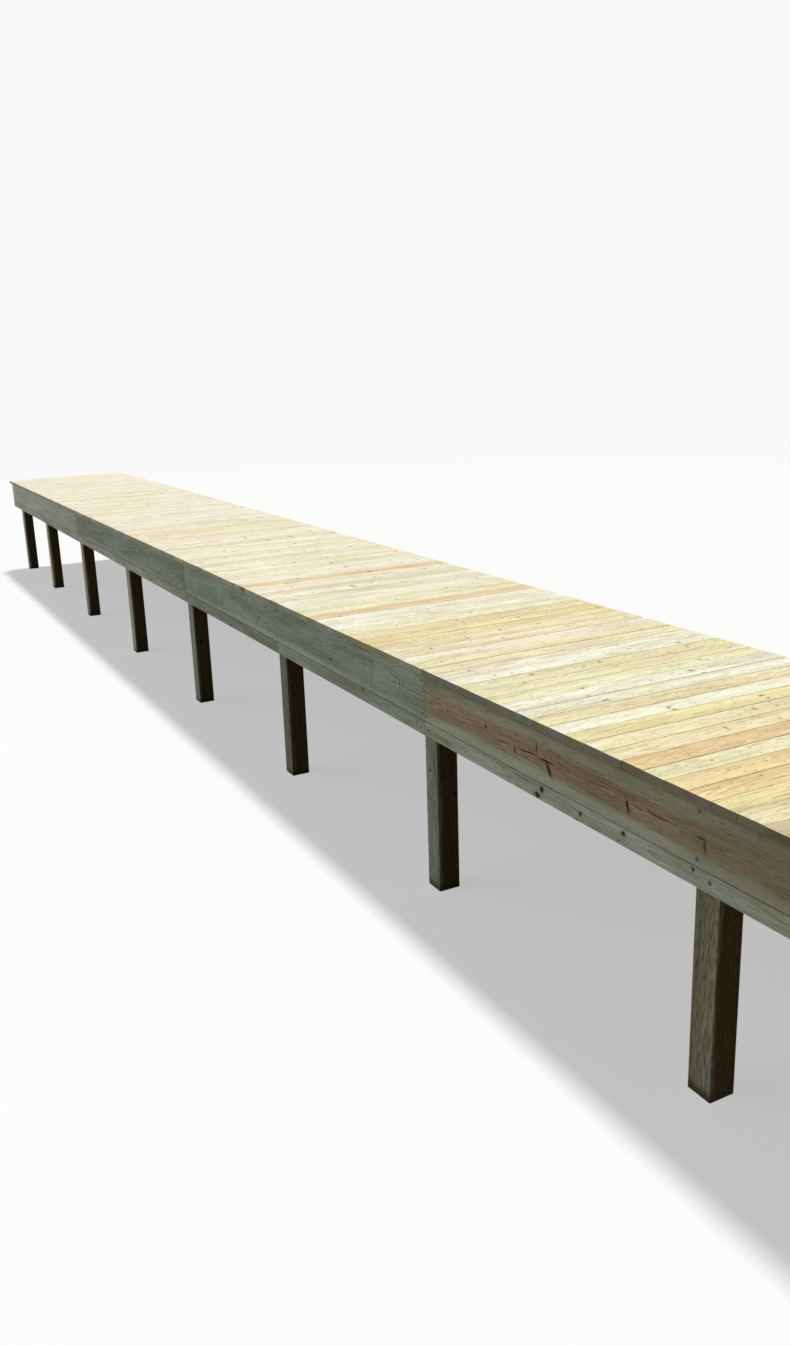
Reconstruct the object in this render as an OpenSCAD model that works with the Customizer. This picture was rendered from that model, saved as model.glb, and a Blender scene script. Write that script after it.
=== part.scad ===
// A straight wooden jetty on square posts, standing in shallow water.
// Boards laid across make the deck; wide bands and narrower lower boards close its sides.
// Millimetres. X runs out from the shore end, Y to the left, Z up.
// The origin is at the middle of the deck in plan, at the level of the water and the post feet.

/* [Deck] */
// Width of one deck board along the jetty
deck_board_w = 139; // [90:1:190]
// Thickness of a deck board
deck_board_t = 38; // [25:1:50]
// Open joint between two deck boards, before they are spread evenly over the length
deck_board_gap = 1.5; // [1:0.5:8]
// Width of the jetty over the ends of the deck boards
deck_w = 1890; // [1200:10:3000]
// Top of the deck above the water
deck_h = 1430; // [900:10:2000]

/* [Posts and bays] */
// Side of a square post
post_w = 142; // [90:1:200]
// Distance from the shore end to the middle of the first pair of posts
shore_offset = 479; // [250:1:700]
// Distance between the middles of two pairs of posts
bay = 2345; // [1200:1:2600]
// The same distance for the last bay, at the open-water end
last_bay = 2033; // [1200:1:2600]
// Distance from the middle of the last pair of posts to the open-water end
end_offset = 532; // [250:1:800]

/* [Side boards] */
// Height of the wide band board under the deck edge
band_h = 290; // [180:1:300]
// Thickness of the band and of the lower boards
band_t = 38; // [25:1:50]
// Height of the narrow lower board
lower_h = 90; // [60:1:150]
// Open joint between the band and the lower board
lower_gap = 4; // [1:0.5:10]
// How far the deck boards stand out past the bands at the sides
side_overhang = 25; // [0:1:60]
// How far the last deck board stands out past the band at the open-water end
end_overhang = 50; // [0:1:80]
// Open butt joint between two lengths of side board or joist
butt_gap = 3; // [1:0.5:8]

/* [Beams and joists] */
// Depth of a joist under the deck boards
joist_h = 140; // [90:1:190]
// Number of joists across the width
joist_count = 5; // [3:1:7]
// Depth of a cross beam under the joists
beam_h = 235; // [140:1:300]
// Thickness of the joists, cross beams and shore header
beam_t = 38; // [25:1:50]

/* [Finish] */
// Radius to which the long edges of a board are eased
board_ease = 3; // [1:0.5:6]
// Radius to which the long edges of a post are eased
post_ease = 6; // [2:0.5:12]

/* [Hidden] */
$fn = 32;
bent_count = 8;
deck_len = shore_offset + (bent_count - 2) * bay + last_bay + end_offset;
deck_board_count = round((deck_len + deck_board_gap) / (deck_board_w + deck_board_gap));
deck_pitch = (deck_len - deck_board_w) / (deck_board_count - 1);
shore_x = -deck_len / 2;
end_x = deck_len / 2;
under_deck = deck_h - deck_board_t;
band_y = deck_w / 2 - side_overhang;
inner_y = band_y - band_t;
band_end_x = end_x - end_overhang;
side_end_x = band_end_x - band_t;
band_z = under_deck - band_h;
lower_z = band_z - lower_gap - lower_h;
joist_z = under_deck - joist_h;
beam_z = joist_z - beam_h;
header_x = shore_x + beam_t;
post_y = inner_y - post_w / 2;
edge_joist_y = inner_y - post_w - beam_t / 2;
joist_pitch = 2 * edge_joist_y / (joist_count - 1);
bent_x = [for (i = [0 : bent_count - 1])
    shore_x + shore_offset + min(i, bent_count - 2) * bay + max(0, i - bent_count + 2) * last_bay];
band_joint_x = [shore_x, bent_x[1], bent_x[3], bent_x[5], side_end_x];
joist_joint_x = [header_x, bent_x[2], bent_x[4], bent_x[6], side_end_x];
lower_joint_x = concat([shore_x], [for (i = [1 : bent_count - 2]) bent_x[i]], [side_end_x]);
deck_joint_x = concat([shore_x], [for (i = [1 : bent_count - 2]) bent_x[i]], [end_x]);

// Section of a sawn timber, w by h, with its long edges eased to radius r
module eased_section(w, h, r) {
    translate([r, 0]) square([w - 2 * r, h]);
    translate([0, r]) square([w, h - 2 * r]);
    for (x = [r, w - r], y = [r, h - r])
        translate([x, y]) circle(r);
}

// A board laid along the jetty from x0 to x1, y_w across and z_h high
module board_along(x0, x1, y0, y_w, z0, z_h) {
    translate([x0, y0, z0]) rotate([90, 0, 90])
        linear_extrude(x1 - x0) eased_section(y_w, z_h, board_ease);
}

// A board laid across the jetty, as far to the left as to the right
module board_across(x0, x_w, half_len, z0, z_h) {
    translate([x0, half_len, z0]) rotate([90, 0, 0])
        linear_extrude(2 * half_len) eased_section(x_w, z_h, board_ease);
}

// Start of the i-th length in a row of joints, with half of the butt joint taken off inside the row
function from_x(joints, i) = joints[i] + (i == 0 ? 0 : butt_gap / 2);

// End of the i-th length in a row of joints
function to_x(joints, i) = joints[i + 1] - (i == len(joints) - 2 ? 0 : butt_gap / 2);

// A pair of square posts, from the water up to the underside of the deck boards
module posts(i) {
    x0 = bent_x[i - 1] - post_w / 2;
    color("#9a9478")
    for (y = [-post_y, post_y])
        translate([x0, y - post_w / 2, 0])
            linear_extrude(under_deck) eased_section(post_w, post_w, post_ease);
}

// Two beams that clasp the posts of one bent, one on each face, and carry the joists
module cross_beams(i) {
    color("#8f8a6c")
    for (x0 = [bent_x[i - 1] - post_w / 2 - beam_t, bent_x[i - 1] + post_w / 2])
        board_across(x0, beam_t, inner_y, beam_z, beam_h);
}

// One run of joists, laid along the jetty on the cross beams and butted over a bent
module joists(i) {
    color("#a39a72")
    for (k = [0 : joist_count - 1])
        board_along(from_x(joist_joint_x, i - 1), to_x(joist_joint_x, i - 1),
            -edge_joist_y + k * joist_pitch - beam_t / 2, beam_t, joist_z, joist_h);
}

// Board across the shore end between the side bands, where the jetty is bolted to the bank
module shore_header() {
    color("#a39a72")
    board_across(shore_x, beam_t, inner_y, band_z, band_h);
}

// One length of the wide board under the deck edge; side is 1 on the left and -1 on the right
module side_band(i, side) {
    y0 = side > 0 ? inner_y : -band_y;
    color("#a08a62")
    board_along(from_x(band_joint_x, i - 1), to_x(band_joint_x, i - 1), y0, band_t, band_z, band_h);
}

// Wide board across the open-water end, over the ends of the side bands
module end_band() {
    color("#a08a62")
    board_across(side_end_x, band_t, band_y, band_z, band_h);
}

// The row of narrow boards under one side band, butted at the posts
module side_lower_boards(side) {
    y0 = side > 0 ? inner_y : -band_y;
    color("#a9aa8a")
    for (i = [0 : len(lower_joint_x) - 2])
        board_along(from_x(lower_joint_x, i), to_x(lower_joint_x, i), y0, band_t, lower_z, lower_h);
}

// Narrow board across the open-water end
module end_lower_board() {
    color("#a9aa8a")
    board_across(side_end_x, band_t, band_y, lower_z, lower_h);
}

// The deck boards of one bay: each belongs where its middle falls
module deck_boards(i) {
    color("#e6d9ad")
    for (k = [0 : deck_board_count - 1]) {
        x0 = shore_x + k * deck_pitch;
        middle = x0 + deck_board_w / 2;
        if (middle >= deck_joint_x[i - 1] && middle < deck_joint_x[i])
            board_across(x0, deck_board_w, deck_w / 2, under_deck, deck_board_t);
    }
}

posts(1);  // posts_1
posts(2);  // posts_2
posts(3);  // posts_3
posts(4);  // posts_4
posts(5);  // posts_5
posts(6);  // posts_6
posts(7);  // posts_7
posts(8);  // posts_8
cross_beams(1);  // cross_beams_1
cross_beams(2);  // cross_beams_2
cross_beams(3);  // cross_beams_3
cross_beams(4);  // cross_beams_4
cross_beams(5);  // cross_beams_5
cross_beams(6);  // cross_beams_6
cross_beams(7);  // cross_beams_7
cross_beams(8);  // cross_beams_8
joists(1);  // joists_1
joists(2);  // joists_2
joists(3);  // joists_3
joists(4);  // joists_4
shore_header();
side_band(1, 1);  // left_band_1
side_band(2, 1);  // left_band_2
side_band(3, 1);  // left_band_3
side_band(4, 1);  // left_band_4
side_band(1, -1);  // right_band_1
side_band(2, -1);  // right_band_2
side_band(3, -1);  // right_band_3
side_band(4, -1);  // right_band_4
end_band();
side_lower_boards(1);  // left_lower_boards
side_lower_boards(-1);  // right_lower_boards
end_lower_board();
deck_boards(1);  // deck_boards_1
deck_boards(2);  // deck_boards_2
deck_boards(3);  // deck_boards_3
deck_boards(4);  // deck_boards_4
deck_boards(5);  // deck_boards_5
deck_boards(6);  // deck_boards_6
deck_boards(7);  // deck_boards_7
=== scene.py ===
import math
import random

import bmesh
import bpy
from mathutils import Matrix, Vector


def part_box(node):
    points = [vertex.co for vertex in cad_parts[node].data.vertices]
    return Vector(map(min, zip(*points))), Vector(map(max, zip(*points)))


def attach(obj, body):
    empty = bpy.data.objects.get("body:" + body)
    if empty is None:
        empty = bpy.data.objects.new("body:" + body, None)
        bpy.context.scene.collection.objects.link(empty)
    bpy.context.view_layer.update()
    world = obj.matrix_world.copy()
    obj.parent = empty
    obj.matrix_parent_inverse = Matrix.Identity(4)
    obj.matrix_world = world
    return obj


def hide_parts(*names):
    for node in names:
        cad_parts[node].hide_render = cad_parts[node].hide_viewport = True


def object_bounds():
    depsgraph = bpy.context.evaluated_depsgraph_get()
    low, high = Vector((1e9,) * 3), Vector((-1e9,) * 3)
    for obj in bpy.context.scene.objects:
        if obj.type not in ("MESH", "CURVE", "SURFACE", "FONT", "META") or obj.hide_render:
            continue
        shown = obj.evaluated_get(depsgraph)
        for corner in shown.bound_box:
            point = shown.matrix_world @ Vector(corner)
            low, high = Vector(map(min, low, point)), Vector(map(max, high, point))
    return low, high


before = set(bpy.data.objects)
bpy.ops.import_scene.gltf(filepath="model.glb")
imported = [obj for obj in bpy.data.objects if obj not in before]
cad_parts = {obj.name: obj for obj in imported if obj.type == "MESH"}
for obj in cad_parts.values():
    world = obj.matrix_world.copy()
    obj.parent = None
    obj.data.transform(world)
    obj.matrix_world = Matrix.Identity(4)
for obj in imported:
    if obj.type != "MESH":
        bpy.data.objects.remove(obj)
cad_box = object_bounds()


# Camera: stands beside the near end, 1.74 m above the deck, and looks out along the left side.
# Its place and its three turns come from the deck edges, board joints and posts in the photograph.
camera_place = (-11.204, 3.933, 3.169)
camera_turns = (74.196, 1.9085, -117.8505)
camera_lens = 29.503

scene = bpy.context.scene
camera = bpy.data.objects.new("camera", bpy.data.cameras.new("camera"))
camera.location = camera_place
camera.rotation_euler = [math.radians(turn) for turn in camera_turns]
camera.data.lens = camera_lens
scene.collection.objects.link(camera)
scene.camera = camera
scene.view_settings.view_transform = "Standard"


# Light: a high sun over the right side, a broad soft light on the shaded left side, and a dim even sky.
# Together they light the deck at a level where its colours render as written.
to_sun = Vector((0.45, -0.26, 1.0))
sun_strength = 3.45
sun_width = 6.0
to_side_light = Vector((0.55, 1.0, 0.15))
side_light_strength = 1.08
side_light_width = 70.0
sky_colour = (0.9, 0.95, 1.0, 1)
sky_strength = 0.1
backdrop_colour = (1, 1, 1, 1)
backdrop_strength = 0.94


def add_sun(name, towards, strength, width):
    """A lamp that shines from one direction; width is the angle in degrees that it fills."""
    lamp = bpy.data.objects.new(name, bpy.data.lights.new(name, "SUN"))
    lamp.data.energy = strength
    lamp.data.angle = math.radians(width)
    lamp.rotation_euler = towards.to_track_quat("Z", "Y").to_euler()
    scene.collection.objects.link(lamp)


def first_output(node):
    """The first open output of a node."""
    return next(socket for socket in node.outputs if socket.enabled)


def add(tree, kind, inputs=None, **settings):
    """A new node. Each input takes a value, a socket, or a node that gives its first open output."""
    made = tree.nodes.new("ShaderNode" + kind)
    for name, value in settings.items():
        setattr(made, name, value)
    for key, value in (inputs or {}).items():
        if isinstance(key, int):
            socket = made.inputs[key]
        else:
            socket = next(s for s in made.inputs if s.enabled and s.name == key)
        if isinstance(value, bpy.types.Node):
            value = first_output(value)
        if isinstance(value, bpy.types.NodeSocket):
            tree.links.new(value, socket)
        else:
            socket.default_value = value
    return made


def sees_backdrop(tree):
    """1 for what the camera sees, directly, in metal or through glass, and 0 for light on the jetty."""
    rays = add(tree, "LightPath").outputs
    seen = add(tree, "Math", {0: rays["Is Camera Ray"], 1: rays["Is Glossy Ray"]}, operation="MAXIMUM")
    return add(tree, "Math", {0: seen, 1: rays["Is Transmission Ray"]}, operation="MAXIMUM")


add_sun("sun", to_sun, sun_strength, sun_width)
add_sun("side_light", to_side_light, side_light_strength, side_light_width)

world = bpy.data.worlds.new("studio")
scene.world = world
world.use_nodes = True
studio = world.node_tree
studio.nodes.clear()
sky = add(studio, "Background", {"Color": sky_colour, "Strength": sky_strength})
backdrop = add(studio, "Background", {"Color": backdrop_colour, "Strength": backdrop_strength})
around = add(studio, "MixShader", {0: sees_backdrop(studio), 1: sky, 2: backdrop})
add(studio, "OutputWorld", {"Surface": around})


# Floor: a plain pale studio floor at the height of the post feet. It fades to white far out,
# keeps the shadow of the jetty, and throws little light back up, so the underside stays dark.
floor_reach = 60.0
floor_hex = "#f2f2ef"
floor_bounce_hex = "#4c5047"
fade_from = 14.0
fade_to = 34.0
fade_at_jetty = 0.5
smooth = {"interpolation_type": "SMOOTHSTEP"}


def linear(hex_colour):
    """An sRGB hex colour as linear red, green, blue and alpha."""
    parts = [int(hex_colour[i:i + 2], 16) / 255 for i in (1, 3, 5)]
    return [p / 12.92 if p <= 0.04045 else ((p + 0.055) / 1.055) ** 2.4 for p in parts] + [1.0]


def new_material(name):
    """An empty node material."""
    material = bpy.data.materials.new(name)
    material.use_nodes = True
    material.node_tree.nodes.clear()
    return material


def painted_floor():
    """Matt pale floor paint: even, without gloss."""
    material = new_material("matt_floor_paint")
    tree = material.node_tree
    place = add(tree, "TexCoord").outputs["Object"]
    far = add(tree, "VectorMath", {0: place}, operation="LENGTH")
    fade = {"Value": far, "From Min": fade_from, "From Max": fade_to, "To Min": fade_at_jetty}
    fade = add(tree, "MapRange", fade, **smooth)
    paint = add(tree, "BsdfDiffuse", {"Color": linear(floor_hex)})
    glow = add(tree, "Emission", {"Color": backdrop_colour, "Strength": backdrop_strength})
    pale = add(tree, "MixShader", {0: fade, 1: paint, 2: glow})
    bounce = add(tree, "BsdfDiffuse", {"Color": linear(floor_bounce_hex)})
    both = add(tree, "MixShader", {0: sees_backdrop(tree), 1: bounce, 2: pale})
    add(tree, "OutputMaterial", {"Surface": both})
    return material


floor_shape = bmesh.new()
bmesh.ops.create_grid(floor_shape, x_segments=1, y_segments=1, size=floor_reach)
floor_mesh = bpy.data.meshes.new("floor")
floor_shape.to_mesh(floor_mesh)
floor_shape.free()
floor = bpy.data.objects.new("floor", floor_mesh)
floor.data.materials.append(painted_floor())
scene.collection.objects.link(floor)


# Posts: eight pairs of 142 mm square southern pine, pressure treated, left as sawn, and counted from the near
# end. Each is cut from the heart of a trunk, so its rings close inside it, and its foot is dark with damp.
# Each pith lies towards the shore side and the inside, so brown heartwood darkens the shore-facing faces:
# painted shade for the shade under the deck. The outer pairs are painted paler, standing in for the brighter
# light on their outer faces.
pairs = range(1, 9)
pale_pairs = range(4, 9)
post_width = 0.142
post_ease = 0.006
# Pairs five to eight are painted paler, standing in for the brighter light on their outer faces.
post_hex = ("#bbc0b0", "#c1cdc5", "#abb1a2", "#b4bdb1", "#dce2d5", "#d6dccb", "#e6ecd6", "#f0f3e4")
end_grain_hex = "#b9b3a4"
ring_width = 0.0055
early_roughness = 0.68
late_roughness = 0.6
damp_to = 0.015
dry_from = 0.065
damp_drift = 0.03
damp_hex = "#8b8c7a"
damp_roughness = 0.4
end_share = 0.4999

# What the grain shows: length and width in millimetres, and the detail and roughness of its noise. Real
# fibres, flecks and checks are a few tenths of a millimetre wide, and are drawn coarser so that they show.
grain_patterns = {"Fibre": (200, 3, 4, 0.6), "Fleck": (45, 3.3, 1, 0.5), "Dash": (143, 13.3, 2, 0.5),
                  "Blotch": (770, 111, 3, 0.5), "Streak": (1250, 37, 2, 0.5), "Check": (910, 18, 2, 0.5)}
pin_knot_mm = (167, 91)
waver_mm = (455, 62.5)
waver_reach = 0.006
wander_mm = 910
wander_reach = 0.025
ragged_mm = 14.3
ragged_reach = 0.0035

# How branches grow: how far from the middle of a board they may point, in board widths, how far they are
# shifted along it, how fast they rise, and how far from the pith they reach their full thickness.
branches = 3
branch_aim = 0.55
branch_shift = 0.06
branch_rise = 0.25
branch_taper = 0.06
thinnest_branch = 0.0003
out_of_reach = 50.0


def timbers_in(name):
    """The lowest and highest corner of each timber in a node, in order along the jetty."""
    solid = bmesh.new()
    solid.from_mesh(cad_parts[name].data)
    bmesh.ops.remove_doubles(solid, verts=solid.verts, dist=0.00001)
    waiting = set(solid.verts)
    boxes = []
    while waiting:
        found = [waiting.pop()]
        for vert in found:
            near = [edge.other_vert(vert) for edge in vert.link_edges]
            found += [v for v in near if v in waiting]
            waiting.difference_update(near)
        low = Vector([min(v.co[i] for v in found) for i in range(3)])
        high = Vector([max(v.co[i] for v in found) for i in range(3)])
        boxes.append((low, high))
    solid.free()
    return sorted(boxes, key=lambda box: [round(value, 3) for value in box[0]])


def new_stack():
    """An empty bmesh whose points carry what the pine materials read."""
    stack = bmesh.new()
    for name in ("grain", "pith", "look"):
        stack.verts.layers.float_vector.new(name)
    stack.verts.layers.float_color.new("tint")
    return stack


def sawn_shape(stack, box, along, ease, cuts):
    """The points of a new timber in the box, with eased long edges and cuts across that let it bend."""
    low, high = box
    size = high - low
    there = Matrix.Translation((low + high) / 2) @ Matrix.Diagonal(size).to_4x4()
    others = set(stack.verts)
    block = bmesh.ops.create_cube(stack, size=1, matrix=there)["verts"]
    long_edges = [edge for edge in dict.fromkeys(e for v in block for e in v.link_edges)
                  if abs(edge.verts[0].co[along] - edge.verts[1].co[along]) > size[along] / 2]
    bmesh.ops.bevel(stack, geom=long_edges, offset=ease, segments=2, profile=0.5, affect="EDGES", material=-1)
    across_grain = Vector([float(axis == along) for axis in range(3)])
    for step in range(1, cuts):
        verts = [v for v in stack.verts if v not in others]
        edges = list(dict.fromkeys(e for v in verts for e in v.link_edges))
        faces = list(dict.fromkeys(f for v in verts for f in v.link_faces))
        plane = Vector(low)
        plane[along] += size[along] * step / cuts
        bmesh.ops.bisect_plane(stack, geom=verts + edges + faces, plane_co=plane, plane_no=across_grain)
    return [v for v in stack.verts if v not in others]


def add_timber(stack, box, along, face, ease, pith, tint, look, cuts=4, bow=0.0, cup=0.0, ends=(0.0, 0.0),
               skew=0.0):
    """A sawn timber in the box. along and face are axes: its length, and the way its broad face looks.

    pith is (heart radius, across, behind the face) of the middle of the tree, tint its sapwood colour, and
    look (seed, knots, ring contrast). bow bends it across, cup hollows its face, and ends and skew
    move its sawn ends."""
    across = 3 - along - face
    middle = (box[0] + box[1]) / 2
    size = box[1] - box[0]
    verts = sawn_shape(stack, box, along, ease, cuts)
    for side in dict.fromkeys(f for v in verts for f in v.link_faces):
        from_middle = abs(side.calc_center_median()[along] - middle[along])
        side.material_index = int(from_middle > size[along] * end_share)
    vectors = stack.verts.layers.float_vector
    tint_layer = stack.verts.layers.float_color["tint"]
    for v in verts:
        place = v.co - middle
        a, b, c = place[along], place[across], place[face]
        v[vectors["grain"]] = (a, b, c)
        v[vectors["pith"]] = pith
        v[vectors["look"]] = look
        v[tint_layer] = tint
        v.co[across] += bow * math.sin(math.pi * (a / size[along] + 0.5))
        v.co[face] -= cup * (2 * b / size[across]) ** 2
        if abs(a) > size[along] * end_share:
            v.co[along] += (ends[1] if a > 0 else ends[0]) + skew * b


def finish_piece(shape, name, materials, node=None):
    """Turns a bmesh into a piece of the jetty that stands for the node, if any."""
    shape.normal_update()
    data = bpy.data.meshes.new(name)
    shape.to_mesh(data)
    shape.free()
    piece = bpy.data.objects.new(name, data)
    for material in materials:
        data.materials.append(material)
    scene.collection.objects.link(piece)
    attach(piece, "root")
    if node:
        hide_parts(node)


def stretched(tree, place, length, width):
    """The place on a timber, scaled so that the cells of a pattern have these millimetres."""
    scale = (1000 / length, 1000 / width, 1000 / width)
    return add(tree, "VectorMath", {0: place, 1: scale}, operation="MULTIPLY")


def place_in_trunk(tree, grain, pith, seeded, along):
    """Where a point lies in the trunk: its offset from the wandering pith, and how far out it is."""
    wander = add(tree, "TexNoise", {"W": along, "Scale": 1000 / wander_mm}, noise_dimensions="1D")
    drift = add(tree, "VectorMath", {0: wander.outputs["Color"], 1: (0, 2 * wander_reach, 2 * wander_reach),
                                     2: (0, -wander_reach, -wander_reach)}, operation="MULTIPLY_ADD")
    offset = add(tree, "VectorMath", {0: grain, 1: pith}, operation="SUBTRACT")
    offset = add(tree, "VectorMath", {0: offset, 1: drift}, operation="SUBTRACT")
    from_pith = add(tree, "VectorMath", {0: offset, 1: (0, 1, 1)}, operation="MULTIPLY")
    radius = add(tree, "VectorMath", {0: from_pith}, operation="LENGTH")
    waver = add(tree, "TexNoise", {"Vector": stretched(tree, seeded, *waver_mm), "Scale": 1.0, "Detail": 3.0})
    waver = add(tree, "MapRange", {"Value": waver, "To Min": -waver_reach, "To Max": waver_reach})
    return from_pith, add(tree, "Math", {0: radius, 1: waver}, operation="ADD")


def nearest_knot(tree, given, looks, pith, along, from_pith):
    """How far a point is from a knot, where 1 is the knot's edge. Branches leave the pith in whorls, every
    half metre or so, and a knot shows where one meets a face."""
    whorl_along = add(tree, "Math", {0: along, 1: given["Whorl spacing"]}, operation="DIVIDE")
    whorl = add(tree, "TexVoronoi", {"W": whorl_along, "Scale": 1.0, "Randomness": 0.9},
                voronoi_dimensions="1D")
    chance = add(tree, "SeparateColor", {0: whorl.outputs["Color"]}).outputs
    from_whorl = add(tree, "Math", {0: whorl_along, 1: whorl.outputs["W"]}, operation="SUBTRACT")
    from_whorl = add(tree, "Math", {0: from_whorl, 1: given["Whorl spacing"]}, operation="MULTIPLY")
    pith_middle = add(tree, "VectorMath", {0: pith, 1: (0, 1, 1)}, operation="MULTIPLY")
    nearest = None
    for turn in range(branches):
        aim, shift, thickness = (chance[(turn + k) % 3] for k in range(3))
        aim = add(tree, "MapRange", {"Value": aim, "To Min": -branch_aim, "To Max": branch_aim})
        aim = add(tree, "Math", {0: aim, 1: given["Board width"]}, operation="MULTIPLY")
        aim = add(tree, "CombineXYZ", {"Y": aim})
        branch = add(tree, "VectorMath", {0: aim, 1: pith_middle}, operation="SUBTRACT")
        branch = add(tree, "VectorMath", {0: branch}, operation="NORMALIZE")
        out = add(tree, "VectorMath", {0: from_pith, 1: branch}, operation="DOT_PRODUCT").outputs["Value"]
        beside = add(tree, "VectorMath", {0: from_pith, 1: branch}, operation="CROSS_PRODUCT")
        beside = add(tree, "VectorMath", {0: beside}, operation="LENGTH")
        shift = add(tree, "MapRange", {"Value": shift, "To Min": -branch_shift, "To Max": branch_shift})
        lift = add(tree, "Math", {0: from_whorl, 1: shift}, operation="ADD")
        rise = add(tree, "Math", {0: out, 1: -branch_rise}, operation="MULTIPLY")
        lift = add(tree, "Math", {0: lift, 1: rise}, operation="ADD")
        both = add(tree, "CombineXYZ", {"X": lift, "Y": beside})
        away = add(tree, "VectorMath", {0: both}, operation="LENGTH")
        thick = add(tree, "MapRange", {"Value": thickness, "From Min": 0.4})
        thick = add(tree, "Math", {0: thick, 1: looks["Y"]}, operation="MULTIPLY")
        thick = add(tree, "Math", {0: thick, 1: given["Knot radius"]}, operation="MULTIPLY")
        taper = add(tree, "MapRange", {"Value": out, "From Max": branch_taper, "To Min": 0.3})
        thick = add(tree, "Math", {0: thick, 1: taper}, operation="MULTIPLY")
        thick = add(tree, "Math", {0: thick, 1: thinnest_branch}, operation="MAXIMUM")
        away = add(tree, "Math", {0: away, 1: thick}, operation="DIVIDE")
        behind = add(tree, "Math", {0: out, 1: 0.0}, operation="LESS_THAN")
        away = add(tree, "Math", {0: behind, 1: out_of_reach, 2: away}, operation="MULTIPLY_ADD")
        nearest = add(tree, "Math", {0: nearest, 1: away}, operation="MINIMUM") if nearest else away
    return nearest


def year_rings(tree, given, looks, pith, radius, from_knot):
    """Pale early wood that darkens to a thin band of late wood each year, bulges round knots, and turns to
    heartwood near the pith."""
    bulge = {"Value": from_knot, "From Min": 4.0, "From Max": 0.6, "To Max": 0.014}
    bulge = add(tree, "MapRange", bulge, **smooth)
    rings = add(tree, "Math", {0: radius, 1: bulge}, operation="ADD")
    years = add(tree, "Math", {0: rings, 1: given["Ring width"]}, operation="DIVIDE")
    uneven = add(tree, "TexNoise", {"W": years, "Scale": 0.35, "Detail": 1.0}, noise_dimensions="1D")
    years = add(tree, "Math", {0: uneven, 1: 2.2, 2: years}, operation="MULTIPLY_ADD")
    ring = add(tree, "Math", {0: years}, operation="FRACT")
    darken = add(tree, "MapRange", {"Value": ring, "From Min": 0.3, "From Max": 0.86}, **smooth)
    end = add(tree, "MapRange", {"Value": ring, "From Min": 0.92}, **smooth)
    late = add(tree, "Math", {0: darken, 1: end}, operation="SUBTRACT")
    late = add(tree, "Math", {0: late, 1: looks["Z"]}, operation="MULTIPLY")
    heart_radius = add(tree, "SeparateXYZ", {0: pith}).outputs["X"]
    inside = add(tree, "Math", {0: heart_radius, 1: radius}, operation="SUBTRACT")
    heart = add(tree, "MapRange", {"Value": inside, "From Min": -0.002, "From Max": 0.003})
    return {"Late wood": late, "Heart": heart}


def surface_grain(tree, seeded):
    """Fibres, short dark flecks of resin, pin knots, slow changes of shade, and drying checks."""
    grown = {}
    for name, (length, width, detail, roughness) in grain_patterns.items():
        cells = stretched(tree, seeded, length, width)
        noise = {"Vector": cells, "Scale": 1.0, "Detail": detail, "Roughness": roughness}
        grown[name] = add(tree, "TexNoise", noise)
    cells = stretched(tree, seeded, *pin_knot_mm)
    pins = add(tree, "TexVoronoi", {"Vector": cells, "Scale": 1.0}, voronoi_dimensions="2D")
    pin_size = add(tree, "SeparateColor", {0: pins.outputs["Color"]}).outputs[0]
    pin_size = add(tree, "MapRange", {"Value": pin_size, "From Min": 0.35, "To Min": 0.001, "To Max": 0.05})
    speck = add(tree, "Math", {0: pins.outputs["Distance"], 1: pin_size}, operation="DIVIDE")
    grown["Speck"] = add(tree, "MapRange", {"Value": speck, "From Min": 1.3, "From Max": 0.6})
    check = add(tree, "Math", {0: grown["Check"], 1: 0.5}, operation="SUBTRACT")
    check = add(tree, "Math", {0: check}, operation="ABSOLUTE")
    check = add(tree, "MapRange", {"Value": check, "From Min": 0.009, "From Max": 0.002})
    open_here = add(tree, "MapRange", {"Value": grown["Blotch"], "From Min": 0.48, "From Max": 0.56})
    grown["Check"] = add(tree, "Math", {0: check, 1: open_here}, operation="MULTIPLY")
    return grown


def pine_growth():
    """How pine grows: rings round a wandering pith, heartwood inside them, knots, and the grain."""
    tree = bpy.data.node_groups.new("pine_growth", "ShaderNodeTree")
    for name in ("Ring width", "Whorl spacing", "Board width", "Knot radius"):
        tree.interface.new_socket(name, in_out="INPUT", socket_type="NodeSocketFloat")
    for name in ("Late wood", "Heart", "From knot", "Board", "Speck", *grain_patterns):
        tree.interface.new_socket(name, in_out="OUTPUT", socket_type="NodeSocketFloat")
    given = tree.nodes.new("NodeGroupInput").outputs
    result = tree.nodes.new("NodeGroupOutput").inputs

    grain, pith, look = (add(tree, "Attribute", attribute_name=name).outputs["Vector"]
                         for name in ("grain", "pith", "look"))
    looks = add(tree, "SeparateXYZ", {0: look}).outputs
    seeded = add(tree, "VectorMath", {0: look, 1: (61, 0, 0), 2: grain}, operation="MULTIPLY_ADD")
    along = add(tree, "SeparateXYZ", {0: seeded}).outputs["X"]
    from_pith, radius = place_in_trunk(tree, grain, pith, seeded, along)
    from_knot = nearest_knot(tree, given, looks, pith, along, from_pith)
    board = add(tree, "TexWhiteNoise", {"W": looks["X"]}, noise_dimensions="1D")
    grown = {"From knot": from_knot, "Board": board}
    grown.update(year_rings(tree, given, looks, pith, radius, from_knot))
    grown.update(surface_grain(tree, seeded))
    for name, node in grown.items():
        tree.links.new(first_output(node), result[name])
    return tree


growth = pine_growth()


def laid_over(tree, colour, factor, hex_colour, amount, low=0.0, high=1.0, blend="MULTIPLY"):
    """The colour with another laid over it, more and more as the factor goes from low to high."""
    factor = add(tree, "MapRange", {"Value": factor, "From Min": low, "From Max": high, "To Max": amount})
    return add(tree, "Mix", {"Factor": factor, "A": colour, "B": linear(hex_colour)}, data_type="RGBA",
               blend_type=blend)


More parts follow.
